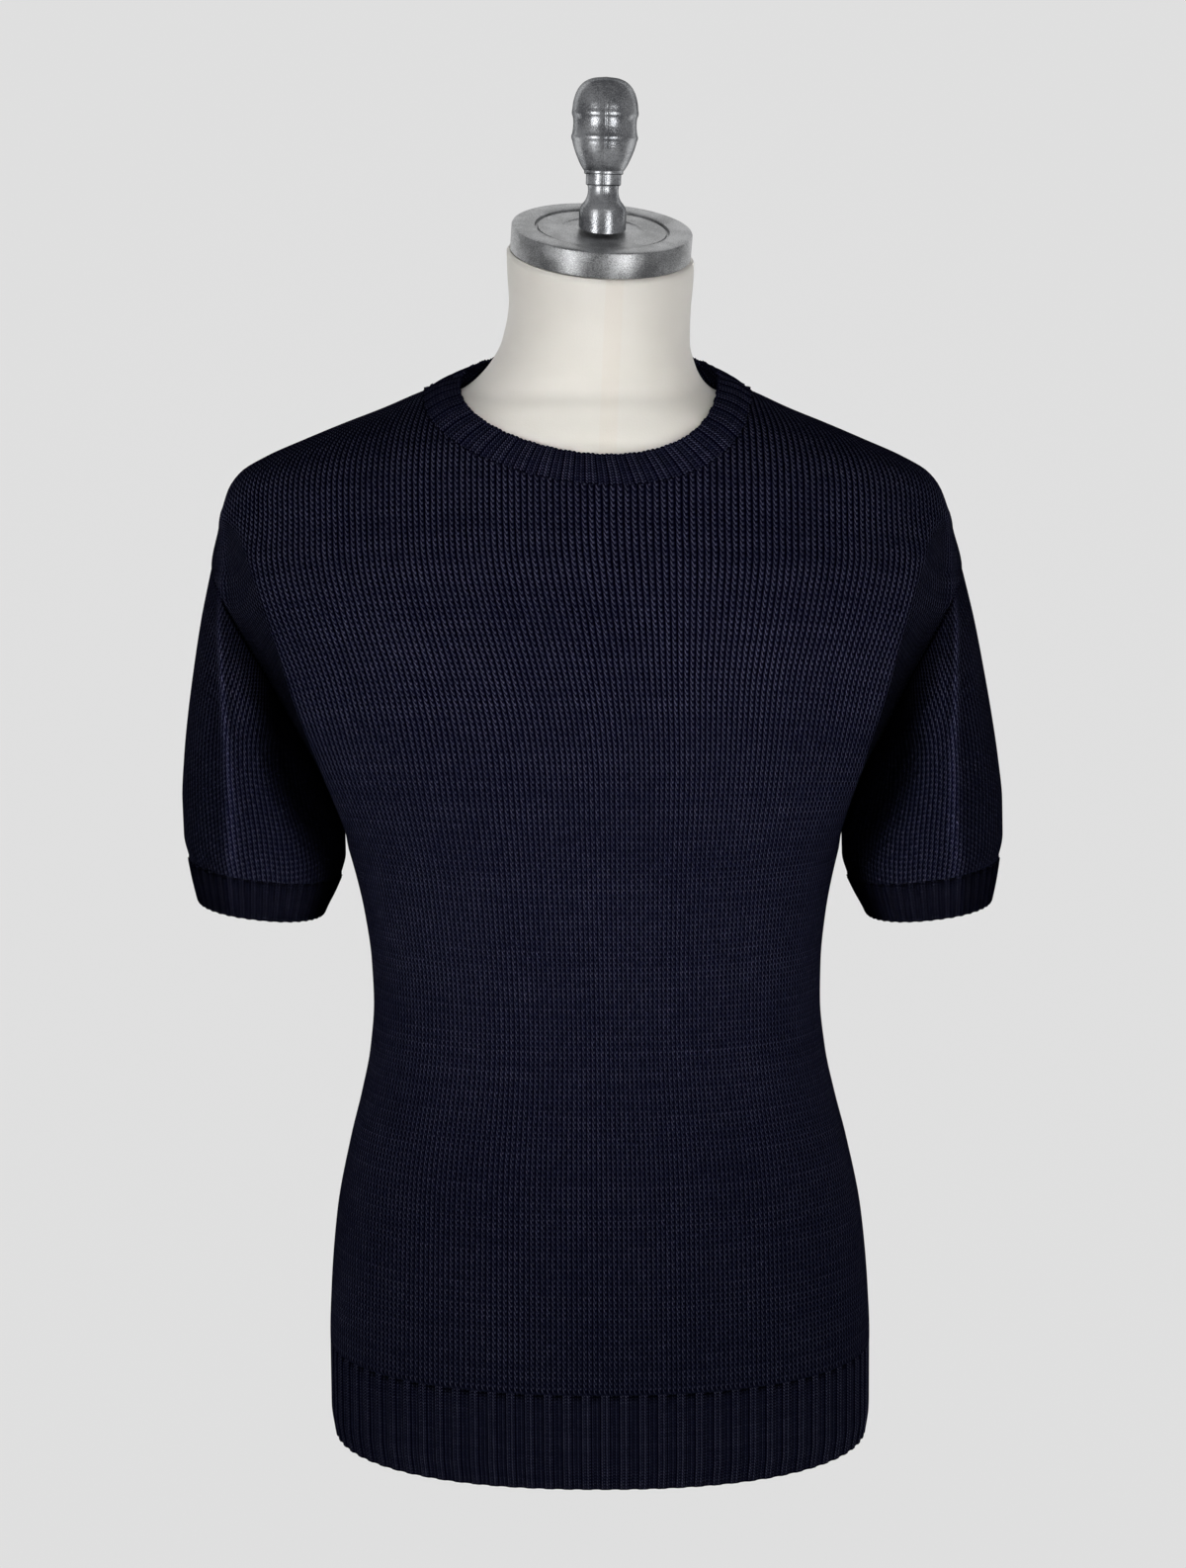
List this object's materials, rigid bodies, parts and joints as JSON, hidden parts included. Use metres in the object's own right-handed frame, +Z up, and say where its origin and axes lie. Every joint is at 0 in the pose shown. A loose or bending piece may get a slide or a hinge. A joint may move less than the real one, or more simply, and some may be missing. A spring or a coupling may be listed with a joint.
{
  "type": "knitted crew-neck top on a limbless tailor's bust",
  "caption": "Short-sleeved crew-neck knitted top with ribbed neckband, cuffs and hem, worn by a limbless tailor's bust with a tilted metal neck cap and handle.",
  "frame": {"origin": "on the flat base of the bust, near its middle", "axes": "+Z up, the front faces -Y, the wearer's left is +X"},
  "size_m": [0.5342, 0.2548, 0.8868],
  "materials": {
    "plain_knit": "matt navy plain knit",
    "rib_knit": "matt navy two-by-two rib",
    "bust_cover": "cream stretch jersey drawn tight over the form",
    "cast_metal": "satin cast metal"
  },
  "bodies": {
    "root": {"front": "plain_knit", "back": "plain_knit", "sleeve_left": "plain_knit", "sleeve_right": "plain_knit", "hem_rib_front": "rib_knit", "hem_rib_back": "rib_knit", "cuff_left": "rib_knit", "cuff_right": "rib_knit", "neckband": "rib_knit", "bust_form": "bust_cover", "neck_cap": "cast_metal", "cap_handle": "cast_metal"}
  },
  "joints": []
}
